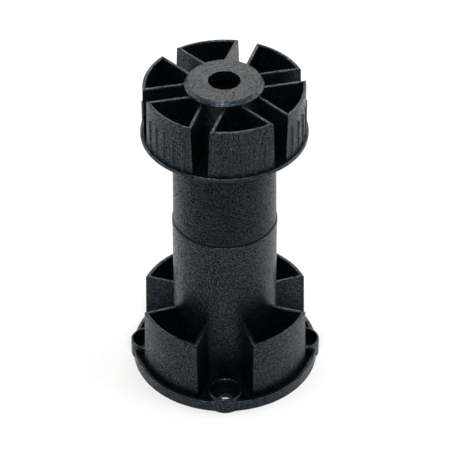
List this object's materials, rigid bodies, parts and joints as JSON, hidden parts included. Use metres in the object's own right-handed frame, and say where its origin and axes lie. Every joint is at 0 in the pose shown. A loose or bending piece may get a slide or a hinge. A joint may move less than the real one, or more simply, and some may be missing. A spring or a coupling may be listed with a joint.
{
  "type": "adjustable cabinet leg",
  "caption": "Moulded plastic cabinet leg: round mounting plate with screw cups and open pockets, two-part tube, and a slotted round foot that screws out to set the height.",
  "frame": {"origin": "centre of the mounting face, on the axis of the tube", "axes": "+Z along the tube from the mounting plate to the foot; +X and +Y each point at a screw cup"},
  "size_m": [0.0568, 0.0568, 0.1],
  "materials": {
    "base_plastic": "moulded, fine grain",
    "tube_plastic": "moulded, fine grain",
    "foot_plastic": "moulded, fine grain"
  },
  "bodies": {
    "base": {"mounting_base": "base_plastic", "leg_tube": "tube_plastic"},
    "foot": {"foot": "foot_plastic"}
  },
  "joints": [
    {"name": "foot_height", "type": "slide", "parent": "base", "child": "foot", "axis": [0, 0, 1], "range_m": [0, 0.022]}
  ]
}
